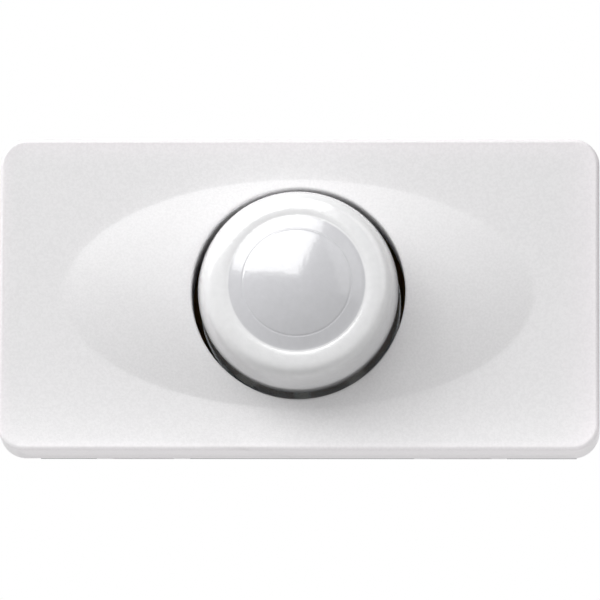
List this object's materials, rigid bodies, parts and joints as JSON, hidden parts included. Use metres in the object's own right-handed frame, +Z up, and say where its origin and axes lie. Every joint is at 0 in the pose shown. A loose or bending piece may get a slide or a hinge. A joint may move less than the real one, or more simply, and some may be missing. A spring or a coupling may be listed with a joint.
{
  "type": "dimmer module",
  "caption": "Wall-plate dimmer module: white cap with an oval swelling round a turning knob, potentiometer, triac, choke and clamp terminals in a snap-in housing.",
  "frame": {"origin": "where the knob's axis crosses the seating plane, at the back of the cap's rim", "axes": "+X along the long side of the face, +Y back into the wall, +Z up"},
  "size_m": [0.045, 0.0364, 0.0238],
  "materials": {
    "white_cover": "fine spark-eroded grain",
    "white_knob": "gloss",
    "grey_housing": "fine grain",
    "zinc": "die-cast, satin",
    "plated_steel": "zinc plated",
    "carbon": "printed carbon",
    "laminate": "phenolic laminate",
    "tinned_brass": "tinned",
    "board": "bare laminate",
    "brass": "bright",
    "aluminium": "rolled",
    "insulator": "silicone",
    "black_epoxy": "moulded epoxy",
    "ferrite": "sintered",
    "copper_wire": "enamelled copper",
    "capacitor_box": "moulded box",
    "film_red": "dipped",
    "fuse_brown": "moulded",
    "resistor_coat": "lacquer",
    "diac_blue": "glass lacquered",
    "rotor_plastic": "moulded",
    "bronze": "spring strip"
  },
  "bodies": {
    "base": {"front_cover": "white_cover", "rear_housing": "grey_housing", "rear_plate": "grey_housing", "pot_bushing": "zinc", "pot_can": "plated_steel", "carbon_track": "carbon", "pot_wafer": "laminate", "pot_tags": "tinned_brass", "circuit_board": "board", "terminal_cage_right": "brass", "terminal_cage_left": "brass", "heat_sink": "aluminium", "insulating_pad": "insulator", "triac_body": "black_epoxy", "triac_leads": "tinned_brass", "triac_screw": "plated_steel", "choke_core": "ferrite", "choke_winding": "copper_wire", "film_capacitor": "capacitor_box", "timing_capacitor": "film_red", "fuse": "fuse_brown", "charge_resistor": "resistor_coat", "snubber_resistor": "resistor_coat", "trigger_diac": "diac_blue"},
    "dial": {"knob": "white_knob", "shaft": "zinc", "shaft_clip": "plated_steel", "pot_rotor": "rotor_plastic", "pot_wiper": "bronze"},
    "clamp_right": {"clamp_plate_right": "plated_steel"},
    "clamp_left": {"clamp_plate_left": "plated_steel"},
    "screw_right": {"terminal_screw_right": "plated_steel"},
    "screw_left": {"terminal_screw_left": "plated_steel"}
  },
  "joints": [
    {"name": "knob_turn", "type": "hinge", "parent": "base", "child": "dial", "pos_m": [0, -0.004, 0], "axis": [0, 1, 0], "range_deg": [-140, 140]},
    {"name": "clamp_right_slide", "type": "slide", "parent": "base", "child": "clamp_right", "axis": [-1, 0, 0], "range_m": [0, 0.003]},
    {"name": "screw_right_turn", "type": "hinge", "parent": "clamp_right", "child": "screw_right", "pos_m": [0.01625, 0.022, 0], "axis": [-1, 0, 0], "range_deg": [0, 2160]},
    {"name": "clamp_left_slide", "type": "slide", "parent": "base", "child": "clamp_left", "axis": [1, 0, 0], "range_m": [0, 0.003]},
    {"name": "screw_left_turn", "type": "hinge", "parent": "clamp_left", "child": "screw_left", "pos_m": [-0.01625, 0.022, 0], "axis": [1, 0, 0], "range_deg": [0, 2160]}
  ],
  "couplings": [
    {"joint": "screw_right_turn", "follows": "clamp_right_slide", "rad_per_m": 12566},
    {"joint": "screw_left_turn", "follows": "clamp_left_slide", "rad_per_m": 12566}
  ]
}
